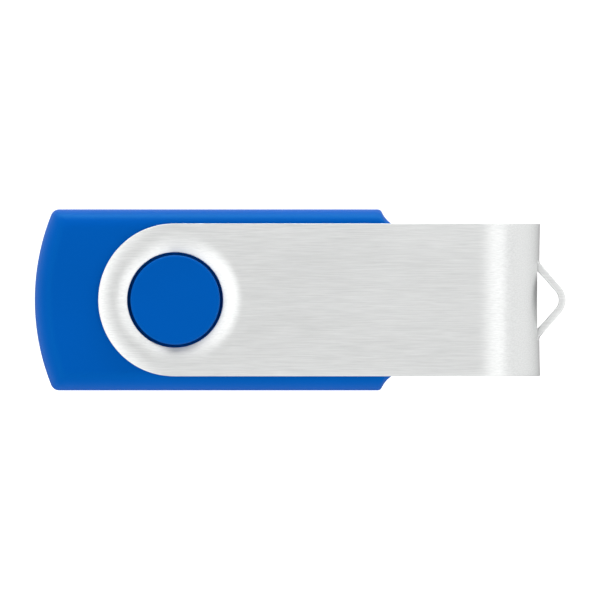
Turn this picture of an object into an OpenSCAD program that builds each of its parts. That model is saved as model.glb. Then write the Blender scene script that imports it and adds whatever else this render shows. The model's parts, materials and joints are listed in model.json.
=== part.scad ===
// USB flash drive with a swivelling sheet metal cover.
// +X points to the plug, +Z up. The drive lies on its cover, and the origin is at the
// middle of its footprint. Modules work from the pivot axis and the parting plane.

/* [Body] */
// Width of the plastic body
body_w = 19; // [18.5:0.5:24]
// Thickness of the plastic body over both shells
body_t = 8.7; // [8.4:0.1:11]
// From the pivot to the middle of the bowed rear end
body_back = 14.75; // [14:0.25:19]
// From the pivot to the front face, where the plug comes out
nose_reach = 24.2; // [23.5:0.1:30]
// Radius of the bowed rear end
back_r = 24; // [18:0.5:28]
// Radius of the two rear corners, seen from above
corner_r = 0.9; // [0.5:0.1:1.8]
// Radius of the long top and bottom edges
edge_r = 2; // [1:0.1:2.6]
// Width of the nose at the front face
nose_w = 15; // [14.5:0.1:17]
// Radius of the hollow shoulders beside the nose
shoulder_r = 2.9; // [1.8:0.1:3.4]
// Thickness of the side and rear walls
wall = 1.3; // [1:0.1:1.6]
// Thickness of the shells' flat skins
skin = 1.4; // [1.2:0.05:1.6]

/* [Pivot] */
// Diameter of the pivot bosses
boss_d = 9.4; // [7.5:0.1:10]
// Radial play between a boss and the hole in the cover
pivot_play = 0.3; // [0.1:0.05:0.4]
// How far each boss stays below the cover's outer face
boss_sink = 0.05; // [0.03:0.01:0.3]
// Radius of the rounded edge of a boss
boss_edge_r = 0.25; // [0.1:0.05:0.5]

/* [Cover] */
// Width of the sheet metal cover
cover_w = 16; // [14.5:0.5:18]
// Thickness of the sheet
sheet_t = 0.7; // [0.5:0.05:0.9]
// Air between the body and each arm of the cover
arm_gap = 0.25; // [0.15:0.05:0.4]
// How much flatter than a half circle the start of the fold is
lead_rise = 5.7; // [3:0.1:8]
// Angle that the flatter start of the fold turns through
lead_angle = 14; // [8:1:18]
// Width of the flat lip round the pivot hole
lip_w = 0.25; // [0.15:0.05:0.4]
// Width of the dished ring between the lip and the flat arm
dish_run = 2; // [1.7:0.05:2.2]
// Depth of the dished ring
dish_depth = 0.55; // [0.35:0.05:0.6]
// Air between the plug's corners and the fold as the cover swings past
swing_gap = 0.4; // [0.3:0.05:1]

/* [Keyring loop] */
// How far the loop stands out of the fold
loop_reach = 2.75; // [2.2:0.05:4]
// Width of the strip that forms the loop
loop_w = 2.4; // [1.8:0.1:3]
// Width of the slits beside the strip
slit_w = 0.15; // [0.1:0.05:0.3]
// Angle between the loop's legs and the fold
loop_angle = 41; // [30:0.5:50]
// Middle radius of the bend at the tip of the loop
loop_tip_r = 1.7; // [1:0.05:2]
// Middle radius of the bends at the roots of the loop
loop_root_r = 1; // [0.8:0.05:1.6]

/* [Plug] */
// Width of the plug shell
plug_w = 12; // [12:0.1:12.2]
// Height of the plug shell
plug_h = 4.5; // [4.4:0.05:4.6]
// Length of plug outside the body
plug_out = 11.8; // [11.7:0.05:14.2]
// Length of plug inside the body
plug_in = 7; // [6.5:0.1:8]
// Thickness of the plug shell's sheet
plug_t = 0.3; // [0.25:0.05:0.35]
// Side of the square latch windows in the shell
window_a = 2.3; // [2:0.1:2.6]
// From the plug's tip to the windows
window_back = 5.16; // [5:0.01:5.3]
// Sideways distance from the middle of the plug to a window's middle
window_y = 2.6; // [2.3:0.1:2.8]
// Width of a contact
contact_w = 1; // [0.9:0.05:1.2]
// Thickness of a contact
contact_t = 0.25; // [0.2:0.01:0.3]
// Sideways place of the two outer contacts, power and ground
contact_outer_y = 3.5; // [3.4:0.05:3.6]
// Sideways place of the two inner contacts, the data pair
contact_inner_y = 1; // [0.95:0.05:1.1]

/* [Circuit board] */
// Thickness of the board
board_t = 1; // [0.8:0.1:1.2]
// Air between the board's long edges and the side walls
board_side_gap = 1; // [0.6:0.1:1.4]
// Air between the board's rear corners and the rear wall
board_back_gap = 0.2; // [0.1:0.05:0.5]
// How far the board's edge lies over a support rail
rail_bite = 0.7; // [0.4:0.05:0.9]
// Diameter of the locating pegs
peg_d = 1.4; // [1.1:0.1:1.8]
// Air all round a peg in its hole
peg_gap = 0.05; // [0.03:0.01:0.1]

/* [Hidden] */
$fn = 64;
over = 0.1; // how far a cutter or a root runs past the face it meets

// Stack of heights, from the parting plane up
half_body = body_t / 2;
ceiling_z = half_body - skin;
half_t = half_body + arm_gap + sheet_t;
boss_top_z = half_t - boss_sink;
seat_gap = 0.2; // air between the cover's lip and the seat round the boss
lip_under_z = half_t - sheet_t - dish_depth;
seat_z = lip_under_z - seat_gap;

// Pivot
boss_r = boss_d / 2;
hole_r = boss_r + pivot_play;
dish_inner_r = hole_r + lip_w;
dish_outer_r = dish_inner_r + dish_run;
seat_r = dish_outer_r - 0.15; // the dished ring clears the body's face inside this radius
core_wall = 1.1; // plastic left round and above the boss's core

// The dished ring is two equal arcs that turn through dish_angle and back
dish_angle = 2 * atan(dish_depth / dish_run);
dish_mid_r = dish_run / (2 * sin(dish_angle));

// Plug, with its tip ahead of the nose and its rear end inside it
plug_tip = nose_reach + plug_out;
plug_rear = nose_reach - plug_in;
plug_gap = 0.05; // air between the plug shell and the opening in the body
plug_edge_r = 0.6;
leg_l = 2.3;
leg_h = 2;
leg_z = -0.7;
insulator_fit = 0.05; // air between the insulator and the plug shell
insulator_rear = plug_rear + 0.2;
block_l = 6.6;
tongue_back = 0.4; // how far the tongue's tip stays behind the plug's tip
tongue_top = 0.1;
contact_top = 0;
contact_front_outer = plug_tip - 1.9;
contact_front_inner = contact_front_outer - 1;
tail_l = 2.4;

// Fold of the cover: a flatter start, then nearly a half circle round fold_x
fold_r = half_t + lead_rise * (1 - 1 / cos(lead_angle));
lead_r = half_t + lead_rise;
swing_r = norm([plug_tip, plug_w / 2]);
fold_x = swing_r + swing_gap - sqrt(pow(fold_r - sheet_t, 2) - pow(plug_h / 2, 2));
lead_x = fold_x - lead_rise * tan(lead_angle);
cover_reach = fold_x + fold_r;

// Keyring loop: its middle line runs from root bend to leg to tip bend
loop_bends = loop_root_r + loop_tip_r;
leg_run = (loop_reach - loop_bends * (1 - cos(loop_angle))) / sin(loop_angle);
loop_half = loop_bends * sin(loop_angle) + leg_run * cos(loop_angle);
root_tail = 0.3;

// The whole drive, centred on the origin
pivot_x = (body_back - cover_reach - loop_reach) / 2;

// Outline of the body
back_x = back_r - body_back;

// Circuit board
board_w = body_w - 2 * (wall + board_side_gap);
board_top = contact_top - contact_t;
board_bottom = board_top - board_t;
inner_back_r = back_r - wall;
board_back = back_x - sqrt(pow(inner_back_r, 2) - pow(board_w / 2, 2)) + board_back_gap;
board_front = insulator_rear - 0.05;
neck_x = plug_rear - leg_l - 0.5;
neck_w = plug_w - 2 * plug_t - 0.3;
cavity_front = plug_rear + 1.8;

// Pegs through the board, and the posts round them
peg_x = neck_x - 2.2;
peg_y = board_w / 2 - 2.2;
peg_top = 0.9;
post_d = peg_d + 1.3;
rib_t = 0.9;
rib_y = 4.6;

// Lip and groove along the parting line, with a snap bead on each side
lip_t = 0.65;
lip_gap = 0.05;
lip_h = 0.8;
lip_front = cavity_front - 0.5;
bead_r = 0.2;
bead_l = 5;
bead_z = 0.45;
bead_x = [-5, neck_x - 6];

// Chips, by their cases' standard sizes
memory_l = 18.4;
memory_w = 12;
memory_span = 20;
memory_t = 1;
memory_x = board_back + memory_span / 2 + 0.6;
controller_a = 7;
controller_span = 9;
controller_t = 1.4;
controller_x = board_back + 12.4;
chip_lift = 0.1; // air under a chip's case
lead_pitch = 0.5;
lead_w = 0.22;
lead_t = 0.15;
regulator_at = [board_back + 3.4, -3.6];
regulator_size = [1.3, 2.9, 1];
regulator_pitch = 0.95;
crystal_at = [controller_x + 7.4, 4];
crystal_size = [3.2, 5];
crystal_base_t = 0.35;
crystal_can_t = 0.75;
light_at = [board_back + 1.6, 4.2];
bead_at = [controller_x + 7.2, -4.2];

// Small chip parts: [x, y, turn] on the board's upper face
chip_l = 1.6;
chip_w = 0.8;
chip_end = 0.3;
resistor_t = 0.45;
capacitor_t = 0.8;
resistor_places = [
    [controller_x + 6.2, 0.9, 0], [controller_x + 6.2, -0.5, 0],
    [light_at[0] + 0.2, light_at[1] - 2.4, 90], [controller_x - 2, 6, 0]
];
capacitor_places = [
    [controller_x + 1, 6, 0], [controller_x - 2, -6, 0], [controller_x + 1, -6, 0],
    [regulator_at[0] - 0.2, -0.4, 90], [controller_x + 8.6, -2.2, 90],
    [regulator_at[0] + 0.2, 5.8, 0]
];

// ---------------------------------------------------------------- shared shapes

module place() {
    translate([pivot_x, 0, half_t]) children();
}

// A rectangle with rounded corners, centred
module rounded_rect_2d(w, h, r) {
    square([w - 2 * r, h], center = true);
    square([w, h - 2 * r], center = true);
    for (sx = [-1, 1], sy = [-1, 1])
        translate([sx * (w / 2 - r), sy * (h / 2 - r)]) circle(r);
}

// ---------------------------------------------------------------- plastic body

// The body's outline seen from above, taken in by inset all round
module body_outline_2d(inset = 0) {
    side = body_w / 2 - inset;
    back = back_r - inset;
    round_r = max(corner_r - inset, 0.1);
    corner_y = side - round_r;
    corner_x = back_x - sqrt(pow(back - round_r, 2) - pow(corner_y, 2));
    front = nose_reach - inset;
    difference() {
        union() {
            intersection() {
                translate([back_x, 0]) circle(back, $fn = 200);
                polygon([
                    [back_x, 0],
                    [back_x - 2 * (back_x - corner_x), 2 * corner_y],
                    [back_x - 2 * (back_x - corner_x), -2 * corner_y]
                ]);
            }
            translate([corner_x, -side]) square([front - corner_x, 2 * side]);
            for (s = [-1, 1]) translate([corner_x, s * corner_y]) circle(round_r);
        }
        for (s = [-1, 1])
            translate([nose_reach, s * (nose_w / 2 + shoulder_r)]) circle(shoulder_r + inset);
    }
}

// The outside of both shells together
module body_form() {
    intersection() {
        linear_extrude(body_t, center = true) body_outline_2d();
        rotate([90, 0, 90])
            linear_extrude(2 * (body_back + nose_reach), center = true)
                rounded_rect_2d(body_w, body_t, edge_r);
        translate([back_x, 0, 0]) rotate_extrude($fn = 200) rear_rim_2d();
    }
}

// Half section of a disc whose rim is the bowed rear end
module rear_rim_2d() {
    translate([0, -half_body]) square([back_r - edge_r, body_t]);
    translate([0, -half_body + edge_r]) square([back_r, body_t - 2 * edge_r]);
    for (s = [-1, 1]) translate([back_r - edge_r, s * (half_body - edge_r)]) circle(edge_r);
}

module pivot_boss() {
    h = boss_top_z - seat_z;
    translate([0, 0, seat_z - over]) rotate_extrude() {
        square([boss_r - boss_edge_r, h + over]);
        square([boss_r, h + over - boss_edge_r]);
        translate([boss_r - boss_edge_r, h + over - boss_edge_r])
            intersection() {
                circle(boss_edge_r);
                square(boss_edge_r);
            }
    }
}

// One half of the body, its open side at the parting plane
module half_shell() {
    difference() {
        union() {
            difference() {
                intersection() {
                    body_form();
                    translate([-2 * back_r, -body_w, 0])
                        cube([4 * back_r, 2 * body_w, half_body]);
                }
                translate([0, 0, seat_z]) cylinder(h = half_body, r = seat_r);
                cavity();
            }
            pivot_boss();
        }
        translate([0, 0, ceiling_z - over])
            cylinder(h = boss_top_z - core_wall - ceiling_z + over, r = boss_r - core_wall);
        plug_opening();
    }
}

module cavity() {
    intersection() {
        translate([0, 0, -over]) linear_extrude(ceiling_z + over) body_outline_2d(wall);
        translate([-2 * back_r, -body_w, -1])
            cube([2 * back_r + cavity_front, 2 * body_w, 2 * half_body]);
    }
}

module plug_opening() {
    w = plug_w + 2 * plug_gap;
    h = plug_h + 2 * plug_gap;
    translate([cavity_front - 1, -w / 2, -h / 2]) cube([nose_reach, w, h]);
}

// Cross rib behind the plug shell, which takes the push of plugging in
module thrust_rib(z0) {
    translate([plug_rear - 0.05 - rib_t, -rib_y, z0])
        cube([rib_t, 2 * rib_y, ceiling_z + over - z0]);
}

module lip_ring(outer, inner, h) {
    intersection() {
        linear_extrude(h) difference() {
            body_outline_2d(outer);
            body_outline_2d(inner);
        }
        translate([-2 * back_r, -body_w, -1])
            cube([2 * back_r + lip_front, 2 * body_w, h + 2]);
    }
}

module beads(r) {
    for (x = bead_x, s = [-1, 1])
        translate([x, s * (body_w / 2 - lip_t), bead_z])
            rotate([0, 90, 0]) cylinder(h = bead_l, r = r);
}

module upper_shell() {
    press_h = ceiling_z + over - board_top;
    color("#055ab5") place() difference() {
        union() {
            half_shell();
            thrust_rib(contact_top + contact_t);
            for (s = [-1, 1]) {
                translate([peg_x, s * peg_y, board_top])
                    cylinder(h = press_h, d = post_d + 2 * peg_gap);
                translate([board_back + 1.2, s * (board_w / 2 - 0.4) - 0.5, board_top])
                    cube([1.6, 1, press_h]);
            }
        }
        for (s = [-1, 1])
            translate([peg_x, s * peg_y, board_top - over])
                cylinder(h = peg_top + 0.3 - board_top, d = peg_d + 2 * peg_gap);
        translate([0, 0, -over]) lip_ring(lip_t, wall + over, lip_h + 2 * over);
        beads(bead_r + lip_gap);
    }
}

module lower_shell() {
    rail_y = board_w / 2 - rail_bite;
    color("#055ab5") place() {
        mirror([0, 0, 1]) {
            half_shell();
            thrust_rib(-board_bottom + over);
            for (s = [-1, 1]) {
                translate([peg_x, s * peg_y, -board_bottom])
                    cylinder(h = ceiling_z + over + board_bottom, d = post_d);
                translate([board_back + 2, s > 0 ? rail_y : -body_w / 2 + wall - over,
                           -board_bottom])
                    cube([peg_x - board_back - 3.6, body_w / 2 - wall + over - rail_y,
                          ceiling_z + over + board_bottom]);
            }
        }
        for (s = [-1, 1])
            translate([peg_x, s * peg_y, board_bottom - over])
                cylinder(h = peg_top - board_bottom + over, d = peg_d);
        translate([0, 0, -over]) lip_ring(lip_t + lip_gap, wall, lip_h + over);
        intersection() {
            beads(bead_r);
            translate([-body_w, -body_w, 0]) cube([4 * body_w, 2 * body_w, lip_h]);
        }
    }
}

// ---------------------------------------------------------------- swivel cover

// What the folded strip encloses, seen from the side and taken in by inset: two straight
// arms and a fold whose start is flatter
module strip_side_2d(inset) {
    r = fold_r - inset;
    h = half_t - inset;
    turn = [sin(lead_angle), cos(lead_angle)];
    lead_centre = [lead_x, half_t - lead_r];
    difference() {
        union() {
            translate([-cover_w - inset, -h])
                square([cover_w + inset + fold_x + r * turn[0], 2 * h]);
            translate([fold_x, 0]) circle(r, $fn = 128);
        }
        for (s = [-1, 1]) mirror([0, s < 0 ? 1 : 0]) difference() {
            polygon([lead_centre, lead_centre + [0, 2 * lead_r], lead_centre + 2 * lead_r * turn]);
            translate(lead_centre) circle(lead_r - inset, $fn = 256);
        }
    }
}

// The strip, round at its two ends, with a window in the fold behind the loop
module strip() {
    window = loop_w / 2 + slit_w;
    difference() {
        intersection() {
            rotate([90, 0, 0]) linear_extrude(cover_w + 2 * over, center = true)
                difference() {
                    strip_side_2d(0);
                    strip_side_2d(sheet_t);
                }
            linear_extrude(3 * half_t, center = true) {
                circle(cover_w / 2);
                translate([0, -cover_w / 2]) square([cover_reach + over, cover_w]);
            }
        }
        translate([0, 0, -2 * half_t]) cylinder(h = 4 * half_t, r = dish_outer_r + over);
        translate([fold_x, -loop_half, -window]) cube([fold_r + over, 2 * loop_half, 2 * window]);
    }
}

// Half section of all that lies under a face of the dished sheet. The face is the sheet's
// middle raised by rise: a flat lip, an arc up, an arc back and the flat arm.
module under_dish_2d(rise, spread) {
    up_r = dish_mid_r - rise;
    back_r = dish_mid_r + rise;
    arm_z = half_t - sheet_t / 2 + rise;
    lip_z = arm_z - dish_depth;
    turn_at = [dish_inner_r + up_r * sin(dish_angle), lip_z + up_r * (1 - cos(dish_angle))];
    end = dish_outer_r + 2 * over + spread;
    difference() {
        union() {
            polygon([
                [hole_r - spread, 0], [hole_r - spread, lip_z], [dish_inner_r, lip_z], turn_at,
                [dish_outer_r, arm_z], [end, arm_z], [end, 0]
            ]);
            intersection() {
                translate([dish_outer_r, arm_z - back_r]) circle(back_r);
                translate([turn_at[0], 0]) square([dish_outer_r - turn_at[0], half_t]);
            }
        }
        intersection() {
            translate([dish_inner_r, lip_z + up_r]) circle(up_r);
            translate([dish_inner_r, 0]) square([turn_at[0] - dish_inner_r, 2 * half_t]);
        }
    }
}

// The pivot hole's lip and the dished ring round it, on the upper arm
module dished_ring() {
    rotate_extrude() difference() {
        under_dish_2d(sheet_t / 2, 0);
        under_dish_2d(-sheet_t / 2, over);
    }
}

// What the keyring loop encloses, seen from above and taken in by inset. Its roots run
// into the fold, whose middle is at x = 0 here.
module loop_side_2d(inset) {
    tip_r = loop_tip_r + sheet_t / 2 - inset;
    root_r = loop_root_r - sheet_t / 2 + inset;
    tip = [loop_reach - loop_tip_r, 0];
    root = [loop_root_r, loop_half];
    side = [cos(loop_angle), sin(loop_angle)];
    far_y = loop_half + root_tail + inset;
    translate(tip) circle(tip_r);
    for (s = [-1, 1]) mirror([0, s < 0 ? 1 : 0]) difference() {
        polygon([
            [-1 - inset, -over], tip - [0, over], tip + tip_r * side, root - root_r * side, root,
            [root[0] - root_r, root[1]], [root[0] - root_r, far_y], [-1 - inset, far_y]
        ]);
        translate(root) circle(root_r);
    }
}

module keyring_loop() {
    intersection() {
        translate([cover_reach - sheet_t / 2, 0, 0]) linear_extrude(loop_w, center = true)
            difference() {
                loop_side_2d(0);
                loop_side_2d(sheet_t);
            }
        union() {
            translate([fold_x, 0, 0]) rotate([90, 0, 0])
                cylinder(h = 2 * cover_w, r = fold_r, center = true, $fn = 128);
            translate([fold_x, -loop_half, -loop_w])
                cube([2 * fold_r, 2 * loop_half, 2 * loop_w]);
        }
    }
}

module swivel_cover() {
    color("#d6d8d7") place() {
        strip();
        dished_ring();
        mirror([0, 0, 1]) dished_ring();
        keyring_loop();
    }
}

// ---------------------------------------------------------------- plug

module plug_shell() {
    length = plug_tip - plug_rear;
    color("#c9cbcc") place() {
        difference() {
            translate([plug_rear, 0, 0]) rotate([90, 0, 90]) linear_extrude(length)
                difference() {
                    rounded_rect_2d(plug_w, plug_h, plug_edge_r);
                    rounded_rect_2d(plug_w - 2 * plug_t, plug_h - 2 * plug_t,
                                    plug_edge_r - plug_t);
                }
            for (s = [-1, 1])
                translate([plug_tip - window_back - window_a, s * window_y - window_a / 2,
                           -plug_h])
                    cube([window_a, window_a, 2 * plug_h]);
            plug_seam();
        }
        for (s = [-1, 1])
            translate([plug_rear - leg_l, s * (plug_w - plug_t) / 2 - plug_t / 2,
                       leg_z - leg_h / 2])
                cube([leg_l + over, plug_t, leg_h]);
    }
}

// The joint along the underside where the sheet was bent round and closed, with its
// dovetail key
module plug_seam() {
    gap = 0.06;
    key_x = plug_rear + plug_in + 2.4;
    key_l = 1.6;
    key_w = 1.1;
    flare = 0.3;
    points = [
        [plug_rear - over, 0], [key_x - key_l / 2 + flare, 0],
        [key_x - key_l / 2, key_w], [key_x + key_l / 2, key_w],
        [key_x + key_l / 2 - flare, 0], [plug_tip + over, 0]
    ];
    translate([0, 0, -plug_h / 2 - over]) linear_extrude(plug_t + 2 * over)
        for (i = [0 : len(points) - 2]) slit_2d(points[i], points[i + 1], gap);
}

// A straight slit between two points
module slit_2d(a, b, gap) {
    run = norm(b - a);
    translate(a) rotate(atan2(b[1] - a[1], b[0] - a[0]))
        translate([-gap / 2, -gap / 2]) square([run + gap, gap]);
}

module plug_insulator() {
    inner_w = plug_w - 2 * (plug_t + insulator_fit);
    inner_h = plug_h - 2 * (plug_t + insulator_fit);
    groove_gap = 0.12;
    length = plug_tip - tongue_back - insulator_rear;
    block_front = insulator_rear + block_l;
    color("#20242a") place() difference() {
        intersection() {
            translate([insulator_rear, 0, 0]) rotate([90, 0, 90]) linear_extrude(length)
                rounded_rect_2d(inner_w, inner_h, plug_edge_r - plug_t);
            union() {
                translate([insulator_rear - over, -plug_w / 2, -plug_h / 2])
                    cube([block_l + over, plug_w, plug_h]);
                translate([insulator_rear, -plug_w / 2, -plug_h / 2])
                    cube([length + over, plug_w, tongue_top + plug_h / 2]);
            }
        }
        for (y = contact_rows()) {
            front = abs(y) == contact_outer_y ? contact_front_outer : contact_front_inner;
            translate([insulator_rear - over, y - contact_w / 2, contact_top - contact_t])
                cube([front - insulator_rear + over, contact_w, contact_t]);
            translate([block_front, y - contact_w / 2 - groove_gap, contact_top - contact_t])
                cube([front + groove_gap - block_front, contact_w + 2 * groove_gap, plug_h]);
        }
    }
}

function contact_rows() = [-contact_outer_y, -contact_inner_y, contact_inner_y, contact_outer_y];

module contact(y, front) {
    back = insulator_rear - tail_l;
    color("#d8a33a") place()
        translate([back, y - contact_w / 2, contact_top - contact_t])
            cube([front - back, contact_w, contact_t]);
}

// ---------------------------------------------------------------- circuit board

module circuit_board() {
    color("#0f5a38") place() translate([0, 0, board_bottom])
        difference() {
            union() {
                translate([board_back, -board_w / 2, 0])
                    cube([neck_x - board_back, board_w, board_t]);
                translate([neck_x - over, -neck_w / 2, 0])
                    cube([board_front - neck_x + over, neck_w, board_t]);
            }
            for (s = [-1, 1])
                translate([peg_x, s * peg_y, -over])
                    cylinder(h = board_t + 2 * over, d = peg_d + 2 * peg_gap);
        }
}

// Solder on each side of the four contact tails
module contact_solder() {
    foot = 0.25;
    length = 1.5;
    color("#b9bcbe") place()
        for (y = contact_rows(), s = [-1, 1])
            translate([insulator_rear - tail_l, y + s * contact_w / 2, board_top])
                rotate([90, 0, 90]) linear_extrude(length)
                    polygon([[0, 0], [s * foot, 0], [0, 0.8 * contact_t]]);
}

// Solder between the plug's legs and the board's neck
module leg_solder() {
    leg_y = plug_w / 2 - plug_t;
    color("#b9bcbe") place()
        for (s = [-1, 1])
            translate([plug_rear - leg_l + 0.6, 0, 0])
                rotate([90, 0, 90]) linear_extrude(leg_l - 0.9)
                    polygon([
                        [s * neck_w / 2, board_bottom], [s * leg_y, board_bottom],
                        [s * leg_y, board_top + 0.4], [s * (neck_w / 2 - 0.35), board_top],
                        [s * neck_w / 2, board_top]
                    ]);
}

// ---------------------------------------------------------------- chips

// Turns a module drawn on +Z down onto the board's upper or lower face
module on_board(x, y, turn = 0) {
    translate([x, y, board_top]) rotate(turn) children();
}

module under_board(x, y, turn = 0) {
    translate([x, y, board_bottom]) mirror([0, 0, 1]) rotate(turn) children();
}

module chip_case(l, w, t, lift = chip_lift) {
    translate([-l / 2, -w / 2, lift]) cube([l, w, t]);
}

// One gull wing lead that leaves a case at x = 0 and reaches out along +X
module gull_lead(reach, exit_z, width) {
    knee = 0.3 * reach;
    ankle = 0.52 * reach;
    rotate([90, 0, 0]) linear_extrude(width, center = true)
        polygon([
            [0, exit_z], [knee - lead_t, exit_z], [ankle - lead_t, 0], [reach, 0],
            [reach, lead_t], [ankle, lead_t], [knee, exit_z + lead_t], [0, exit_z + lead_t]
        ]);
}

module lead_row(count, pitch, edge, reach, exit_z, width = lead_w) {
    for (i = [0 : count - 1])
        translate([edge, (i - (count - 1) / 2) * pitch, 0]) gull_lead(reach, exit_z, width);
}

module memory_chip() {
    color("#26282b") place() under_board(memory_x, 0) chip_case(memory_l, memory_w, memory_t);
}

module memory_leads() {
    color("#c3c6c8") place() under_board(memory_x, 0)
        for (turn = [0, 180]) rotate(turn)
            lead_row(24, lead_pitch, memory_l / 2, (memory_span - memory_l) / 2,
                     chip_lift + memory_t / 2 - lead_t / 2);
}

module controller_chip() {
    color("#26282b") place() on_board(controller_x, 0)
        chip_case(controller_a, controller_a, controller_t);
}

module controller_leads() {
    color("#c3c6c8") place() on_board(controller_x, 0)
        for (turn = [0 : 90 : 270]) rotate(turn)
            lead_row(12, lead_pitch, controller_a / 2, (controller_span - controller_a) / 2,
                     chip_lift + controller_t / 2 - lead_t / 2);
}

module crystal_base() {
    color("#d9d2c0") place() on_board(crystal_at[0], crystal_at[1])
        chip_case(crystal_size[0], crystal_size[1], crystal_base_t, 0);
}

module crystal_can() {
    rim = 0.3;
    color("#c9cbcc") place() on_board(crystal_at[0], crystal_at[1])
        translate([0, 0, crystal_base_t]) linear_extrude(crystal_can_t)
            rounded_rect_2d(crystal_size[0] - rim, crystal_size[1] - rim, 0.4);
}

module light_base() {
    color("#e8e6dc") place() on_board(light_at[0], light_at[1], 90)
        chip_case(chip_l, chip_w, 0.3, 0);
}

module light_lens() {
    color("#f4f4ec") place() on_board(light_at[0], light_at[1], 90)
        chip_case(chip_l - 0.5, chip_w, 0.4, 0.3);
}

module regulator_chip() {
    color("#26282b") place() on_board(regulator_at[0], regulator_at[1])
        chip_case(regulator_size[0], regulator_size[1], regulator_size[2]);
}

module regulator_leads() {
    reach = 0.55;
    exit_z = chip_lift + regulator_size[2] / 2 - lead_t / 2;
    edge = regulator_size[0] / 2;
    color("#c3c6c8") place() on_board(regulator_at[0], regulator_at[1]) {
        lead_row(1, 0, edge, reach, exit_z, 0.4);
        rotate(180) lead_row(2, 2 * regulator_pitch, edge, reach, exit_z, 0.4);
    }
}

// The body of a small chip part, between its two tinned ends
module chip_middle(l, w, t, end) {
    translate([-l / 2 + end, -w / 2, 0]) cube([l - 2 * end, w, t]);
}

module chip_ends(l, w, t, end) {
    for (s = [-1, 1])
        translate([s * (l - end) / 2 - end / 2, -w / 2, 0]) cube([end, w, t]);
}

module resistors() {
    color("#2b2b2f") place() for (p = resistor_places)
        on_board(p[0], p[1], p[2]) chip_middle(chip_l, chip_w, resistor_t, chip_end);
}

module resistor_ends() {
    color("#c3c6c8") place() for (p = resistor_places)
        on_board(p[0], p[1], p[2]) chip_ends(chip_l, chip_w, resistor_t, chip_end);
}

module capacitors() {
    color("#b58d62") place() for (p = capacitor_places)
        on_board(p[0], p[1], p[2]) chip_middle(chip_l, chip_w, capacitor_t, chip_end);
}

module capacitor_ends() {
    color("#c3c6c8") place() for (p = capacitor_places)
        on_board(p[0], p[1], p[2]) chip_ends(chip_l, chip_w, capacitor_t, chip_end);
}

module ferrite_bead() {
    color("#3a3c40") place() on_board(bead_at[0], bead_at[1])
        chip_middle(2, 1.25, 0.9, 0.4);
}

module ferrite_ends() {
    color("#c3c6c8") place() on_board(bead_at[0], bead_at[1]) chip_ends(2, 1.25, 0.9, 0.4);
}

// ---------------------------------------------------------------- the nodes

upper_shell();
lower_shell();
swivel_cover();
plug_shell();
plug_insulator();
contact(contact_outer_y, contact_front_outer);  // contact_power
contact(contact_inner_y, contact_front_inner);  // contact_data_minus
contact(-contact_inner_y, contact_front_inner);  // contact_data_plus
contact(-contact_outer_y, contact_front_outer);  // contact_ground
circuit_board();
contact_solder();
leg_solder();
memory_chip();
memory_leads();
controller_chip();
controller_leads();
crystal_base();
crystal_can();
light_base();
light_lens();
resistors();
resistor_ends();
capacitors();
capacitor_ends();
regulator_chip();
regulator_leads();
ferrite_bead();
ferrite_ends();
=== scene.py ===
import json
import math

import bmesh
import bpy
import numpy as np
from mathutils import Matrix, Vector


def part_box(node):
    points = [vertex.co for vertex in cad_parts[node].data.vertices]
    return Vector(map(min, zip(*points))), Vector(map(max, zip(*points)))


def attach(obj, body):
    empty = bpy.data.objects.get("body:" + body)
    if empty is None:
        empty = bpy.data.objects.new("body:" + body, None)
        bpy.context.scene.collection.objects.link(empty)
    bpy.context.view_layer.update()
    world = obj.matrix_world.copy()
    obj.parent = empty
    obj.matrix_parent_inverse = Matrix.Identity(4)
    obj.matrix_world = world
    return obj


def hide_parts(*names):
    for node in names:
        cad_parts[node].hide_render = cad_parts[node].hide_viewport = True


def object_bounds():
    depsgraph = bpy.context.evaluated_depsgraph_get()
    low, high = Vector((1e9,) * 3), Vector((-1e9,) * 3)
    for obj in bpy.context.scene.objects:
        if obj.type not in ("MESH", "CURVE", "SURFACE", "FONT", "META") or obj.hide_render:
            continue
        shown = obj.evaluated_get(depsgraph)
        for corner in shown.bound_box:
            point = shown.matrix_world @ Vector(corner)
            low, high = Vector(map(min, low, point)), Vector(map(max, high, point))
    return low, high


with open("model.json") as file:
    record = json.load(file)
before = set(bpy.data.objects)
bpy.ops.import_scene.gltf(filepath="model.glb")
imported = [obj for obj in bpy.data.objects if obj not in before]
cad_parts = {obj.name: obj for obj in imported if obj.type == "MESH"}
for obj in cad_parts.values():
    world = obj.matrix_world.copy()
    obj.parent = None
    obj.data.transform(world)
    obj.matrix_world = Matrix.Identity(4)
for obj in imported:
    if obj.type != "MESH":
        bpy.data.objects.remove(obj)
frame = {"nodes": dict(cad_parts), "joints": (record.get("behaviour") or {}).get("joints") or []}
cad_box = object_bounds()
MM = 0.001

# ---------------------------------------------------------------- camera
# A very long lens straight above the drive, which lies on its cover with the plug end to
# the right. The picture is 63 mm wide at the drive.
CAMERA_HEIGHT = 2.0
VIEW_WIDTH = 0.063
view_centre = (-0.00003, -0.00001)
camera_data = bpy.data.cameras.new("camera")
camera_data.sensor_width = 36
camera_data.lens = camera_data.sensor_width * CAMERA_HEIGHT / VIEW_WIDTH
camera_data.clip_start = 0.01
camera = bpy.data.objects.new("camera", camera_data)
camera.location = (*view_centre, CAMERA_HEIGHT + cad_box[1][2] / 2)
bpy.context.scene.collection.objects.link(camera)
bpy.context.scene.camera = camera

# ---------------------------------------------------------------- circuit board
# Glass fibre laminate with a green solder mask, cut to a panel with a narrow neck for the
# plug. Copper tracks show through the mask as raised lines. Two pegs locate it.


def new_material(name):
    """An empty node material with a Principled shader wired to the output."""
    material = bpy.data.materials.new(name)
    material.use_nodes = True
    tree = material.node_tree
    shader = next(n for n in tree.nodes if n.type == "BSDF_PRINCIPLED")
    return material, tree, shader


def set_sockets(target, **values):
    """Sets a node's own sockets, named with underscores for spaces."""
    for name, value in values.items():
        target.inputs[name.replace("_", " ")].default_value = value


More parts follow.
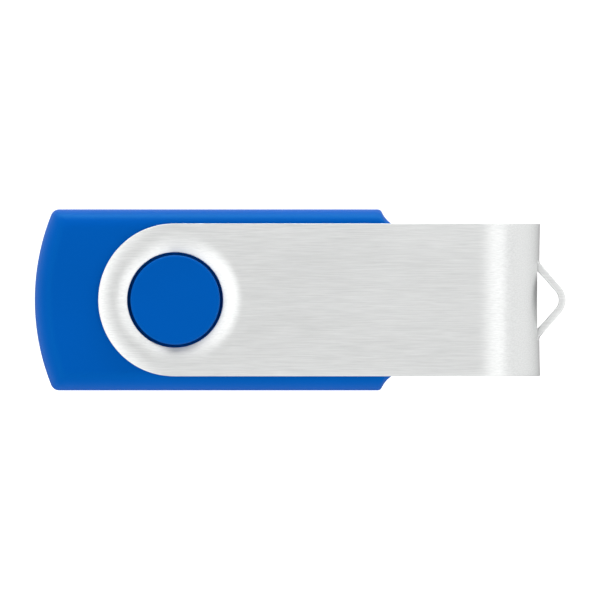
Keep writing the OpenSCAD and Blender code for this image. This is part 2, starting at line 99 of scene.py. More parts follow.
def node(tree, kind, links=None, **settings):
    """Adds a node. Settings are its properties, or sockets when no property has the name,
    and links join other nodes' sockets to its inputs, by name or number."""
    made = tree.nodes.new(kind)
    for name, value in settings.items():
        if hasattr(made, name):
            setattr(made, name, value)
        else:
            made.inputs[name.replace("_", " ")].default_value = value
    for name, source in (links or {}).items():
        tree.links.new(source, made.inputs[name])
    return made


def stretched(tree, scale):
    """Object coordinates, multiplied along each axis by scale."""
    place = node(tree, "ShaderNodeTexCoord")
    return node(
        tree, "ShaderNodeMapping", {"Vector": place.outputs["Object"]}, Scale=scale
    ).outputs["Vector"]


def noise(tree, scale, detail=2.0, roughness=0.5):
    """Noise whose cells are 1 / scale metres along each axis."""
    return node(
        tree,
        "ShaderNodeTexNoise",
        {"Vector": stretched(tree, scale)},
        Scale=1.0,
        Detail=detail,
        Roughness=roughness,
    ).outputs["Fac"]


def blend(tree, factor, low, high):
    """A colour that is low where factor is 0 and high where it is 1."""
    mix = node(tree, "ShaderNodeMix", {"Factor": factor}, data_type="RGBA")
    colour_a, colour_b, colour_out = 6, 7, 2
    mix.inputs[colour_a].default_value = (*low, 1)
    mix.inputs[colour_b].default_value = (*high, 1)
    return mix.outputs[colour_out]


def between(tree, factor, low, high):
    """A colour or number that runs from low to high as factor runs from 0.3 to 0.7."""
    ramp = node(tree, "ShaderNodeMapRange", {"Value": factor}, From_Min=0.3, From_Max=0.7)
    if not isinstance(low, tuple):
        set_sockets(ramp, To_Min=low, To_Max=high)
        return ramp.outputs["Result"]
    return blend(tree, ramp.outputs["Result"], low, high)


def bump(tree, shader, height, distance, strength=1.0):
    """Raises the shaded surface by distance metres where height goes from 0 to 1."""
    made = node(
        tree, "ShaderNodeBump", {"Height": height}, Distance=distance, Strength=strength
    )
    tree.links.new(made.outputs["Normal"], shader.inputs["Normal"])


def plain(name, low, high, rough, cell, depth, **values):
    """A finish whose colour runs between low and high and whose roughness between the two
    values of rough, over cells of the given size in metres, with dents of that depth."""
    material, tree, shader = new_material(name)
    set_sockets(shader, **values)
    spots = noise(tree, (1 / cell,) * 3, 3.0)
    grain = noise(tree, (4 / cell,) * 3, 2.0)
    tree.links.new(between(tree, spots, low, high), shader.inputs["Base Color"])
    tree.links.new(between(tree, grain, *rough), shader.inputs["Roughness"])
    bump(tree, shader, grain, depth)
    return material


def dress(name, material):
    """Gives a CAD node's object one material."""
    slots = frame["nodes"][name].data.materials
    slots.clear()
    slots.append(material)


TRACKS_PER_METRE = 900
board_finish, board_tree, board_shader = new_material("green_board")
set_sockets(board_shader, Coat_Weight=0.4, Coat_Roughness=0.15)
track_cells = node(
    board_tree,
    "ShaderNodeTexVoronoi",
    {"Vector": stretched(board_tree, (TRACKS_PER_METRE, TRACKS_PER_METRE, 0))},
    feature="DISTANCE_TO_EDGE",
    distance="CHEBYCHEV",
    Scale=1.0,
).outputs["Distance"]
tracks = node(
    board_tree,
    "ShaderNodeMapRange",
    {"Value": track_cells},
    From_Min=0.06,
    From_Max=0.1,
    To_Min=1.0,
    To_Max=0.0,
).outputs["Result"]
board_tree.links.new(
    blend(board_tree, tracks, (0.006, 0.085, 0.04), (0.012, 0.15, 0.06)),
    board_shader.inputs["Base Color"],
)
weave = noise(board_tree, (3000, 3000, 3000), 2.0)
board_tree.links.new(between(board_tree, weave, 0.25, 0.4), board_shader.inputs["Roughness"])
bump(board_tree, board_shader, tracks, 0.00003)
dress("circuit_board", board_finish)

# ---------------------------------------------------------------- chips and their leads
# The memory and the controller are moulded in black epoxy, with rows of bent tinned leads
# soldered to the board. The regulator beside them is a small one of the same make.
epoxy = plain(
    "black_epoxy", (0.018, 0.018, 0.02), (0.03, 0.03, 0.033), (0.45, 0.6), 0.0002, 0.000004
)
tin = plain(
    "tinned_lead",
    (0.55, 0.56, 0.57),
    (0.68, 0.69, 0.7),
    (0.25, 0.4),
    0.0001,
    0.000002,
    Metallic=1.0,
)
for chip in ("memory_chip", "controller_chip", "regulator_chip"):
    dress(chip, epoxy)
for leads in ("memory_leads", "controller_leads", "regulator_leads"):
    dress(leads, tin)

# ---------------------------------------------------------------- small parts
# A crystal in a ceramic tray with a plated lid, a white light with a clear lens, chip
# resistors and capacitors with tinned ends, and a ferrite bead in the supply line.
ceramic = plain(
    "tray_ceramic", (0.5, 0.44, 0.34), (0.62, 0.55, 0.43), (0.5, 0.65), 0.0003, 0.000003
)
lid_plate = plain(
    "plated_lid",
    (0.62, 0.61, 0.58),
    (0.7, 0.69, 0.66),
    (0.2, 0.3),
    0.0004,
    0.000001,
    Metallic=1.0,
)
light_resin = plain(
    "white_resin", (0.72, 0.71, 0.65), (0.8, 0.79, 0.73), (0.4, 0.5), 0.0003, 0.000002
)
lens_resin = plain(
    "clear_resin",
    (0.85, 0.86, 0.74),
    (0.9, 0.91, 0.8),
    (0.05, 0.12),
    0.0004,
    0.000001,
    Transmission_Weight=0.6,
)
resistor_glaze = plain(
    "resistor_glaze", (0.015, 0.015, 0.02), (0.03, 0.03, 0.035), (0.15, 0.3), 0.0003, 0.000002
)
capacitor_body = plain(
    "capacitor_ceramic", (0.3, 0.19, 0.09), (0.42, 0.27, 0.14), (0.4, 0.55), 0.00025, 0.000004
)
ferrite = plain(
    "ferrite", (0.035, 0.035, 0.038), (0.06, 0.06, 0.062), (0.5, 0.7), 0.0002, 0.000006
)
for part, finish in {
    "crystal_base": ceramic,
    "crystal_can": lid_plate,
    "light_base": light_resin,
    "light_lens": lens_resin,
    "resistors": resistor_glaze,
    "resistor_ends": tin,
    "capacitors": capacitor_body,
    "capacitor_ends": tin,
    "ferrite_bead": ferrite,
    "ferrite_ends": tin,
}.items():
    dress(part, finish)

# ---------------------------------------------------------------- contacts and insulator
# Four flat contacts of gold plated bronze lie in grooves of the plug's black nylon tongue.
# Their tails and the plug's legs are soldered to the board.
gold = plain(
    "gold_plate",
    (0.86, 0.6, 0.24),
    (0.93, 0.68, 0.3),
    (0.18, 0.3),
    0.0005,
    0.000002,
    Metallic=1.0,
)
nylon = plain(
    "black_nylon", (0.012, 0.013, 0.015), (0.02, 0.021, 0.024), (0.4, 0.5), 0.0003, 0.000004
)
solder = plain(
    "solder",
    (0.58, 0.59, 0.6),
    (0.7, 0.71, 0.72),
    (0.15, 0.35),
    0.00025,
    0.00001,
    Metallic=1.0,
)
for contact in ("contact_power", "contact_data_minus", "contact_data_plus", "contact_ground"):
    dress(contact, gold)
dress("plug_insulator", nylon)
dress("contact_solder", solder)
dress("leg_solder", solder)

# ---------------------------------------------------------------- plug shell
# A tube of nickel plated steel sheet, bent round until it meets at a seam underneath.
# Its mouth is turned in a little, and two latch windows are punched in each wide side.
PLUG_SHEET = 0.3
PLUG_EDGE = 0.6  # radius of the tube's four long edges
MOUTH_RUN = 0.45  # length of the mouth that is turned in
MOUTH_IN = 0.12  # how far it is turned in
TIGHTEST_EDGE = 0.12  # least radius of a long edge
SEAM = 0.06
WINDOW = 2.3
WINDOW_BACK = 5.16  # from the plug's tip to the windows
WINDOW_Y = 2.6
WINDOW_CORNER = 0.25
LEG = 2.3  # length of a solder leg
LEG_Z = -0.7  # height of its middle
LEG_HALF_H = 1.0
LEG_TIP_HALF_H = 0.7
LEG_TIP_RUN = 0.3
LEG_EDGE = 0.08
pivot = np.array(frame["joints"][0]["pos_m"]) / MM


def box_of(name):
    """A CAD node's lowest and highest corners in millimetres, from the pivot."""
    low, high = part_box(name)
    return np.array(low) / MM - pivot, np.array(high) / MM - pivot


def weld(name, grids, crease=32):
    """A mesh from grids of points in millimetres, each rows x columns x 3. Neighbouring
    points of a grid are joined by quads. Points that coincide are merged, so that seams
    and poles close, and the faces are turned outwards."""
    counts = [g.shape[0] * g.shape[1] for g in grids]
    starts = np.cumsum([0] + counts[:-1])
    faces = []
    for grid, start in zip(grids, starts):
        rows, columns = grid.shape[:2]
        corner = start + np.arange(rows - 1)[:, None] * columns + np.arange(columns - 1)
        quad = [corner, corner + 1, corner + columns + 1, corner + columns]
        faces.append(np.stack(quad, axis=-1).reshape(-1, 4))
    points = (np.concatenate([g.reshape(-1, 3) for g in grids]) + pivot) * MM
    mesh = bpy.data.meshes.new(name)
    mesh.from_pydata(points.tolist(), [], np.concatenate(faces).tolist())
    work = bmesh.new()
    work.from_mesh(mesh)
    bmesh.ops.remove_doubles(work, verts=work.verts, dist=2e-7)
    bmesh.ops.dissolve_degenerate(work, edges=work.edges, dist=1e-8)
    bmesh.ops.recalc_face_normals(work, faces=work.faces)
    work.to_mesh(mesh)
    work.free()
    piece = bpy.data.objects.new(name, mesh)
    bpy.context.scene.collection.objects.link(piece)
    soften(piece, crease)
    return piece


def soften(piece, crease):
    """Shades a mesh smooth, but for edges that turn by more than crease degrees."""
    mesh = piece.data
    mesh.polygons.foreach_set("use_smooth", np.ones(len(mesh.polygons), bool))
    mesh.set_sharp_from_angle(angle=math.radians(crease))


def apply_modifiers(piece):
    """Replaces a piece's mesh with what its modifiers make of it."""
    bpy.context.view_layer.update()
    made = bpy.data.meshes.new_from_object(
        piece.evaluated_get(bpy.context.evaluated_depsgraph_get())
    )
    piece.modifiers.clear()
    piece.data = made


def cut(piece, tool, operation="DIFFERENCE"):
    """Takes a closed tool away from a closed piece, or adds it, and removes the tool."""
    modifier = piece.modifiers.new("cut", "BOOLEAN")
    modifier.operation = operation
    modifier.solver = "EXACT"
    modifier.object = tool
    apply_modifiers(piece)
    bpy.data.objects.remove(tool)


def rounded_rectangle(half_w, half_h, radius, steps=8):
    """A closed loop round a rectangle of the given half sides in Y and Z: four arcs of the
    radius, joined by straight stretches with points every tenth of their length."""
    turn = np.linspace(0, np.pi / 2, steps + 1)
    arc = np.stack([half_w - radius + radius * np.cos(turn),
                    half_h - radius + radius * np.sin(turn)], -1)
    across = np.stack([np.linspace(half_w - radius, radius - half_w, 11),
                       np.full(11, half_h)], -1)[1:-1]
    up = np.stack([np.full(11, -half_w), np.linspace(half_h - radius, radius - half_h, 11)], -1)
    half = np.concatenate([arc, across, arc[::-1] * (-1, 1), up[1:-1]])
    return np.concatenate([half, -half, half[:1]])


def along_x(sections, places):
    """Carries closed loops in Y and Z to places along X, as a grid with a row for each."""
    rows = [np.column_stack([np.full(len(loop), x), loop]) for loop, x in zip(sections, places)]
    return np.stack(rows)


def closed_bar(name, sections, places):
    """A solid bar along X through closed loops, shut at its two ends by fans."""
    grid = along_x(sections, places)
    hubs = np.repeat(grid.mean(1, keepdims=True), grid.shape[1], 1)
    first = np.stack([hubs[0], grid[0]])
    last = np.stack([grid[-1], hubs[-1]])
    return weld(name, [first, grid, last])


def flat(loop, z):
    """Gives a loop in X and Y a height, or a height for each point."""
    return np.column_stack([loop, np.full(len(loop), z) if np.isscalar(z) else z])


def prism(name, loop, hub, low, high):
    """A solid from a closed loop in X and Y, carried up from height low to high and shut
    by fans from the hub."""
    middle = np.broadcast_to(hub, loop.shape)
    return weld(name, [
        np.stack([flat(middle, low), flat(loop, low), flat(loop, high), flat(middle, high)])
    ])


plug_low, plug_high = box_of("plug_shell")
plug_w, plug_h = plug_high[1] * 2, (plug_high[2] - plug_low[2])
plug_back, plug_tip = plug_low[0] + LEG, plug_high[0]


def plug_wall(inset, turned_in):
    """Loops of the shell's outer or inner face and their places along X. Near the mouth
    the loop shrinks along a quarter ellipse by turned_in."""
    mouth = np.linspace(0, np.pi / 2, 7)
    shrink = np.concatenate([[0, 0], turned_in * (1 - np.cos(mouth))])
    places = np.concatenate([
        [plug_back, plug_tip - 1.0], plug_tip - MOUTH_RUN + MOUTH_RUN * np.sin(mouth)
    ])
    loops = [
        rounded_rectangle(plug_w / 2 - inset - s, plug_h / 2 - inset - s,
                          max(PLUG_EDGE - inset - s, TIGHTEST_EDGE))
        for s in shrink
    ]
    return loops, places


outer_loops, outer_places = plug_wall(0, MOUTH_IN)
inner_loops, inner_places = plug_wall(PLUG_SHEET, 0.0)
outer = along_x(outer_loops, outer_places)
inner = along_x(inner_loops, inner_places)
plug_shell = weld("plug_shell_sheet", [
    outer, inner, np.stack([outer[-1], inner[-1]]), np.stack([outer[0], inner[0]]),
])
for side in (-1, 1):
    middle = (plug_tip - WINDOW_BACK - WINDOW / 2, side * WINDOW_Y)
    hole = rounded_rectangle(WINDOW / 2, WINDOW / 2, WINDOW_CORNER) + middle
    cut(plug_shell, prism("window", hole, hole.mean(0), -plug_h, plug_h))
seam_top = -plug_h / 2 + PLUG_SHEET + 0.1
seam_loop = np.array([
    [SEAM / 2, seam_top], [-SEAM / 2, seam_top], [-SEAM / 2, -plug_h], [SEAM / 2, -plug_h],
    [SEAM / 2, seam_top],
])
cut(plug_shell, closed_bar("seam", [seam_loop, seam_loop], [plug_back - 1, plug_tip + 1]))
for side in (-1, 1):
    leg_y = side * (plug_w - PLUG_SHEET) / 2
    leg = rounded_rectangle(PLUG_SHEET / 2, LEG_HALF_H, LEG_EDGE) + (leg_y, LEG_Z)
    tip = rounded_rectangle(PLUG_SHEET / 2 - 0.05, LEG_TIP_HALF_H, LEG_EDGE) + (leg_y, LEG_Z)
    places = [plug_low[0], plug_low[0] + LEG_TIP_RUN, plug_back + 0.1]
    cut(plug_shell, closed_bar("leg", [tip, leg, leg], places), "UNION")
soften(plug_shell, 32)
nickel, nickel_tree, nickel_shader = new_material("nickel_plate")
set_sockets(nickel_shader, Metallic=1.0)
drawn = noise(nickel_tree, (120, 9000, 9000), 3.0)
cloud = noise(nickel_tree, (400, 400, 400), 2.0)
nickel_tree.links.new(
    between(nickel_tree, cloud, (0.6, 0.6, 0.59), (0.67, 0.67, 0.66)),
    nickel_shader.inputs["Base Color"],
)
nickel_tree.links.new(between(nickel_tree, drawn, 0.2, 0.3), nickel_shader.inputs["Roughness"])
bump(nickel_tree, nickel_shader, drawn, 0.000002)
plug_shell.data.materials.append(nickel)
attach(plug_shell, "body")
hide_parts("plug_shell")

# ---------------------------------------------------------------- body shells
# Two mouldings in blue plastic that snap together round the board. Each has a round boss
# that the cover turns on, in a shallow seat, and the nose grips the plug between them.
shell_low, shell_high = box_of("upper_shell")
body_half_w = shell_high[1]
body_back, nose_reach = -shell_low[0], shell_high[0]
boss_top = shell_high[2]
HALF_BODY = 4.35  # from the parting line to the flat top
BACK_R = 24.0  # radius of the bowed rear
CORNER_R = 0.9
SIDE_ROUND = 2.0  # radius of the long top edges
NOSE_ROUND = 0.6
NOSE_W = 15.0
SHOULDER_R = 2.9  # radius of the hollow shoulders
SHOULDER_AHEAD = 0.1  # how far their middles lie ahead of the front face
BEND_L = 0.35  # length of the small bends at the shoulders' two ends
SEAT_R, SEAT_Z = 7.1, 3.85
BOSS_R, BOSS_ROUND = 4.7, 0.28
SMALL_ROUND = 0.12
PARTING = 0.07  # bevel at the parting line
WALL = 1.3
CEILING = 2.95  # height of the hollow inside
CAVITY_FRONT = 19.0


def bend(a, corner, b, count):
    """A rounded corner: the parabola from a to b whose ends point at the corner."""
    t = np.linspace(0, 1, count)[:, None]
    return (1 - t) ** 2 * a + 2 * t * (1 - t) * corner + t**2 * b


def arc(centre, radius, start, end, count):
    """Points round an arc, the angles in radians."""
    turn = np.linspace(start, end, count)
    return np.array(centre) + radius * np.stack([np.cos(turn), np.sin(turn)], -1)


def body_loop(side, nose):
    """The body's outline seen from above, taken in by side at its long sides and bowed
    rear and by nose at its shoulders and front. It runs from the middle of the rear over
    the +Y side to the front, and back. Returns the closed loop and, for each point, how
    much it belongs to the nose, from 0 to 1."""
    centre_x = BACK_R - body_back
    back, half = BACK_R - side, body_half_w - side
    fillet = np.array([centre_x - math.sqrt((back - CORNER_R) ** 2 - (half - CORNER_R) ** 2),
                       half - CORNER_R])
    toward = math.atan2(fillet[1], fillet[0] - centre_x)
    hollow = np.array([nose_reach + SHOULDER_AHEAD, NOSE_W / 2 + SHOULDER_R])
    radius = SHOULDER_R + nose
    end_x = hollow[0] - math.sqrt(radius**2 - (hollow[1] - half) ** 2)
    first = math.atan2(half - hollow[1], end_x - hollow[0])
    last = -math.pi / 2 - math.asin((nose + SHOULDER_AHEAD) / radius)
    front_x = nose_reach - nose
    step = BEND_L / radius
    sweep = 1 / np.tan(np.linspace(math.radians(140), math.radians(22), 52))
    sweep = (sweep - sweep[0]) / (sweep[-1] - sweep[0])
    hollow_arc = arc(hollow, radius, first + step, last - step, 16)
    front_corner = hollow + radius * np.array([math.cos(last), math.sin(last)])
    corner_a = np.array([end_x, half])
    straight_x = fillet[0] + (end_x - BEND_L - fillet[0]) * sweep
    after = front_corner - (0, BEND_L)
    parts = [
        arc((centre_x, 0), back, math.pi, toward, 26)[:-1],
        arc(fillet, CORNER_R, toward, math.pi / 2, 10)[:-1],
        np.stack([straight_x, np.full(52, half)], -1)[:-1],
        bend(np.array([straight_x[-1], half]), corner_a, hollow_arc[0], 7)[:-1],
        hollow_arc[:-1],
        bend(hollow_arc[-1], front_corner, after, 6)[:-1],
        np.stack([np.full(14, front_x), np.linspace(after[1], 0, 14)], -1),
    ]
    share = [np.zeros(25 + 9 + 51), np.linspace(0, 0.35, 6), np.linspace(0.35, 1, 8),
             np.ones(7 + 5 + 14)]
    half_loop, half_share = np.concatenate(parts), np.concatenate(share)
    return (np.concatenate([half_loop, half_loop[-2::-1] * (1, -1)]),
            np.concatenate([half_share, half_share[-2::-1]]))


def body_crown(turn):
    """The body's rounded edge at an angle from the upright wall, 0, to the flat top, 90
    degrees. At the sides the edge is a quarter circle of SIDE_ROUND. At the nose it is one
    of NOSE_ROUND, sunk from the height that the sides' rounding leaves there."""
    inward = 1 - math.cos(turn)
    loop, nose_share = body_loop(SIDE_ROUND * inward, NOSE_ROUND * inward)
    beyond = np.clip(np.abs(loop[:, 1]) - (body_half_w - SIDE_ROUND), 0, SIDE_ROUND)
    bar = HALF_BODY - SIDE_ROUND + np.sqrt(SIDE_ROUND**2 - beyond**2)
    at_side = HALF_BODY - SIDE_ROUND * (1 - math.sin(turn))
    at_nose = bar - NOSE_ROUND * (1 - math.sin(turn))
    return flat(loop, at_side + (at_nose - at_side) * nose_share)


def ring_rows(angles, sections):
    """Circles round the pivot, one for each radius and height in sections."""
    around = np.stack([np.cos(angles), np.sin(angles)], -1)
    return [flat(r * around, z) for r, z in sections]


def quarter(r0, z0, radius, start, end, count=5):
    """Radii and heights round an arc of a turned section, the angles in degrees."""
    turn = np.radians(np.linspace(start, end, count))
    return list(zip(r0 + radius * np.cos(turn), z0 + radius * np.sin(turn)))


def body_outside():
    """Rows of points from the parting plane up the wall, over the rounded edge, across the
    flat top, down into the seat and up over the boss to its middle."""
    rim, _ = body_loop(0, 0)
    crowns = [body_crown(t) for t in np.radians(np.linspace(0, 90, 13))]
    wall_top = crowns[0]
    bevel = ((PARTING, 0.0), (PARTING * 0.3, PARTING * 0.3), (0, PARTING))
    rows = [flat(body_loop(s, s)[0], z) for s, z in bevel]
    for share in (0.04, 0.35, 0.7, 0.96):
        rows.append(flat(rim, PARTING + (wall_top[:, 2] - PARTING) * share))
    rows += crowns
    top = crowns[-1]
    angles = np.arctan2(top[:, 1], top[:, 0])
    seat = quarter(SEAT_R + SMALL_ROUND, HALF_BODY - SMALL_ROUND, SMALL_ROUND, 90, 180)
    seat += [(SEAT_R, SEAT_Z + SMALL_ROUND + 0.05)]
    seat += quarter(SEAT_R - SMALL_ROUND, SEAT_Z + SMALL_ROUND, SMALL_ROUND, 0, -90)
    seat += [(SEAT_R - 0.3, SEAT_Z), (BOSS_R + 0.3, SEAT_Z)]
    seat += quarter(BOSS_R + SMALL_ROUND, SEAT_Z + SMALL_ROUND, SMALL_ROUND, -90, -180)
    seat += [(BOSS_R, boss_top - BOSS_ROUND - 0.05)]
    seat += quarter(BOSS_R - BOSS_ROUND, boss_top - BOSS_ROUND, BOSS_ROUND, 0, 90, 8)
    seat += [(BOSS_R - BOSS_ROUND - r, boss_top) for r in (0.1, 0.6, 1.6, 3.0)] + [(0.0, boss_top)]
    rings = ring_rows(angles, seat)
    for share in (0.03, 0.3, 0.7, 0.97):
        rows.append(top + (rings[0] - top) * share)
    bottom = flat(np.zeros((len(rim), 2)), 0.0)
    return np.stack([bottom] + rows + rings)


def cavity(name, inset, front, top):
    """A closed solid that hollows a shell up to the height top: the outline taken in by
    inset and cut short at front."""
    loop, _ = body_loop(inset, inset)
    loop[:, 0] = np.minimum(loop[:, 0], front)
    return prism(name, loop, (0.0, 0.0), -1, top)


def turned(name, at, sections):
    """A solid turned about an upright axis, through radii and heights in sections."""
    around = np.linspace(0, 2 * np.pi, 33)
    rows = ring_rows(around, [(0.0, sections[0][1])] + sections + [(0.0, sections[-1][1])])
    return weld(name, [np.stack(rows) + (*at, 0)])


def block(low, high):
    """A closed box with small bevels along X, for a rib or a rail inside a shell."""
    middle, half = (np.array(high) + low) / 2, (np.array(high) - low) / 2
    loop = rounded_rectangle(half[1], half[2], min(half[1], half[2]) * 0.2, 3) + middle[1:]
    return closed_bar("rib", [loop, loop], [low[0], high[0]])


def flip(piece):
    """Turns a piece made for the upper shell over, for the lower one."""
    points = np.empty(len(piece.data.vertices) * 3)
    piece.data.vertices.foreach_get("co", points)
    points = points.reshape(-1, 3)
    points[:, 2] = 2 * pivot[2] * MM - points[:, 2]
    piece.data.vertices.foreach_set("co", points.ravel())
    piece.data.flip_normals()
    return piece


PLUG_GAP = 0.05
TUNNEL_L = 6.0
CORE_WALL = 1.1  # plastic left round and above a boss's core
CORE_BEVEL = 0.3
OVER = 0.1  # how far a rib or a cutter runs into the plastic it meets
BOARD_TOP, BOARD_UNDER = -0.25, -1.25
PEG_AT = (12.2, 5.0)
PEG_R, POST_R, BORE_R = 0.7, 1.35, 0.75
PRESS_RIB_X, PRESS_RIB_Y, PRESS_RIB_W = (-10.7, -9.1), 6.8, 1.0
RAIL_X, RAIL_Y = (-9.9, 10.6), 6.5
THRUST_RIB_X, THRUST_RIB_HALF_W = (-0.95, -0.05), 4.6  # places along X from the plug's rear
THRUST_RIB_UPPER, THRUST_RIB_LOWER = 0.25, 1.35
LIP_H, LIP_T, LIP_GAP, LIP_FRONT = 0.8, 0.65, 0.05, 18.5
rib_top = CEILING + OVER


def plug_tunnel():
    """The opening for the plug, with a small flare where it leaves the nose."""
    flare = np.array([0, 0, 0.03, 0.12, 0.3])
    places = nose_reach + np.array([-TUNNEL_L, -0.15, -0.06, 0, 0.12])
    loops = [rounded_rectangle(plug_w / 2 + PLUG_GAP + f, plug_h / 2 + PLUG_GAP + f,
                               PLUG_EDGE + PLUG_GAP + f) for f in flare]
    return closed_bar("tunnel", loops, places)


def hollow_shell(name):
    """One half of the body as the upper one: its outside with the cavity, the boss's core
    and the plug's opening cut away."""
    shell = weld(name, [body_outside()])
    cut(shell, cavity("cavity", WALL, CAVITY_FRONT, CEILING))
    core_r, core_top = BOSS_R - CORE_WALL, boss_top - CORE_WALL
    cut(shell, turned("core", (0, 0), [(core_r, CEILING - OVER), (core_r, core_top - CORE_BEVEL),
                                       (core_r - CORE_BEVEL, core_top)]))
    cut(shell, plug_tunnel())
    return shell


def thrust_rib(start_z):
    """The rib across a shell behind the plug, which takes its push, from start_z up."""
    near, far = THRUST_RIB_X
    return block((plug_back + near, -THRUST_RIB_HALF_W, start_z),
                 (plug_back + far, THRUST_RIB_HALF_W, rib_top))


upper = hollow_shell("upper_shell_moulding")
cut(upper, cavity("rebate", LIP_T, LIP_FRONT, LIP_H + OVER))
for side in (-1, 1):
    at = (PEG_AT[0], side * PEG_AT[1])
    cut(upper, turned("tube", at, [
        (BORE_R, BOARD_TOP), (POST_R, BOARD_TOP), (POST_R + 0.05, 0.0), (POST_R + 0.1, rib_top),
        (BORE_R, rib_top), (BORE_R, BOARD_TOP),
    ]), "UNION")
    middle_y = side * PRESS_RIB_Y
    cut(upper, block((PRESS_RIB_X[0], middle_y - PRESS_RIB_W / 2, BOARD_TOP),
                     (PRESS_RIB_X[1], middle_y + PRESS_RIB_W / 2, rib_top)), "UNION")
cut(upper, thrust_rib(THRUST_RIB_UPPER), "UNION")

lower = hollow_shell("lower_shell_moulding")
for side in (-1, 1):
    at = (PEG_AT[0], side * PEG_AT[1])
    cut(lower, turned("post", at, [
        (PEG_R - 0.15, -0.9), (PEG_R, -0.7), (PEG_R, -BOARD_UNDER), (POST_R, -BOARD_UNDER),
        (POST_R + 0.05, rib_top),
    ]), "UNION")
    edges = sorted((side * RAIL_Y, side * (body_half_w - WALL + OVER)))
    cut(lower, block((RAIL_X[0], edges[0], -BOARD_UNDER), (RAIL_X[1], edges[1], rib_top)),
        "UNION")
cut(lower, thrust_rib(THRUST_RIB_LOWER), "UNION")
lip_face, lip_back = LIP_T + LIP_GAP, WALL - 0.02
lip_rows = []
for inset, z in ((lip_face, OVER), (lip_face, 0.15 - LIP_H), (LIP_T + 0.12, -LIP_H),
                 (lip_back, -LIP_H), (lip_back, OVER), (lip_face, OVER)):
    lip_loop, _ = body_loop(inset, inset)
    lip_loop[:, 0] = np.minimum(lip_loop[:, 0], LIP_FRONT - (inset - LIP_T))
    lip_rows.append(flat(lip_loop, z))
cut(lower, weld("lip", [np.stack(lip_rows)]), "UNION")
flip(lower)

blue, blue_tree, blue_shader = new_material("blue_plastic")
set_sockets(blue_shader, Specular_IOR_Level=0.2, Specular_Tint=(0.04, 1.0, 1.0, 1.0))
flow = noise(blue_tree, (60, 90, 90), 2.0)
orange_peel = noise(blue_tree, (2600, 2600, 2600), 2.0)
fine = noise(blue_tree, (9000, 9000, 9000), 2.0)
blue_tree.links.new(
    between(blue_tree, flow, (0.0001, 0.085, 0.425), (0.0001, 0.09, 0.45)),
    blue_shader.inputs["Base Color"],
)
blue_tree.links.new(between(blue_tree, fine, 0.34, 0.42), blue_shader.inputs["Roughness"])
bump(blue_tree, blue_shader, orange_peel, 0.0000015)
for shell, cad_name in ((upper, "upper_shell"), (lower, "lower_shell")):
    soften(shell, 32)
    shell.data.materials.append(blue)
    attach(shell, "body")
    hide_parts(cad_name)

# ---------------------------------------------------------------- swivel cover
# One strip of brushed aluminium, 0.7 mm thick, with round ends. Each arm is dished round
# its pivot hole, and a band lanced from the fold is pushed out as the keyring loop.
_, cover_high = box_of("swivel_cover")
cover_half_w, half_t = cover_high[1], cover_high[2]
SHEET = 0.7
MID_T = half_t - SHEET / 2
HOLE_R = 5.0
HOLE_LEAN = 0.1  # the sheet leans at the hole, so its middle starts this far outside it
DISH_R, DISH_DEPTH = 7.2, 0.55
CREST_R = 6.5  # the highest line round the arm's end
END_LIP, END_DROP = 0.27, 0.19  # fall from the crest to the hole and to the end's rim
LEAD_RISE, LEAD_ANGLE = 5.7, math.radians(14)  # the flatter start of the fold
LOOP_REACH = 2.75
LOOP_ANGLE = math.radians(40.9)
LOOP_TIP_R, LOOP_ROOT_R = 1.7, 1.0
LOOP_HALF_W = 1.2
ROOT_RUN = 2.2  # length over which the loop's band turns from curved to flat
SLIT = 0.15
FLARE = 0.1
EDGE_BEVEL = 0.09
GRAIN_SPAN = 60.0  # length of strip that one unit of the grain map covers
cover_reach = cover_high[0] - LOOP_REACH
fold_r = half_t + LEAD_RISE * (1 - 1 / math.cos(LEAD_ANGLE))
lead_r = half_t + LEAD_RISE
fold_x = cover_reach - fold_r
lead_x = fold_x - LEAD_RISE * math.tan(LEAD_ANGLE)
mid_r = fold_r - SHEET / 2
root_x = cover_reach - SHEET / 2
bends_r = LOOP_ROOT_R + LOOP_TIP_R
leg_run = (LOOP_REACH - bends_r * (1 - math.cos(LOOP_ANGLE))) / math.sin(LOOP_ANGLE)
loop_half = bends_r * math.sin(LOOP_ANGLE) + leg_run * math.cos(LOOP_ANGLE)
loop_y = np.linspace(-loop_half, loop_half, 15)
beyond_y = np.linspace(loop_half, cover_half_w, 7)
fold_y = np.concatenate([-beyond_y[:0:-1], loop_y, beyond_y[1:]])


def dish_depth(x, y):
    """How far the arm's middle surface lies below the flat. Round the pivot it sinks
    toward the hole, ever more steeply, from DISH_R. Toward the arm's round end the dish
    is shallower, and from a crest at CREST_R the end also bends down to its rim."""
    r = np.maximum(np.hypot(x, y), 1e-9)
    u = np.clip((r - HOLE_R) / (DISH_R - HOLE_R), 0, 1)
    dish = DISH_DEPTH * ((1 - u) - (1 - u**2.5) / 2.5) / 0.6
    away = np.abs(r - CREST_R) / (CREST_R - HOLE_R)
    crest = np.where(r < CREST_R, END_LIP, END_DROP) * away**1.9
    share = np.clip(-1.6 * x / r, 0, 1)
    share = share**2 * (3 - 2 * share)
    return dish + (crest - dish) * share


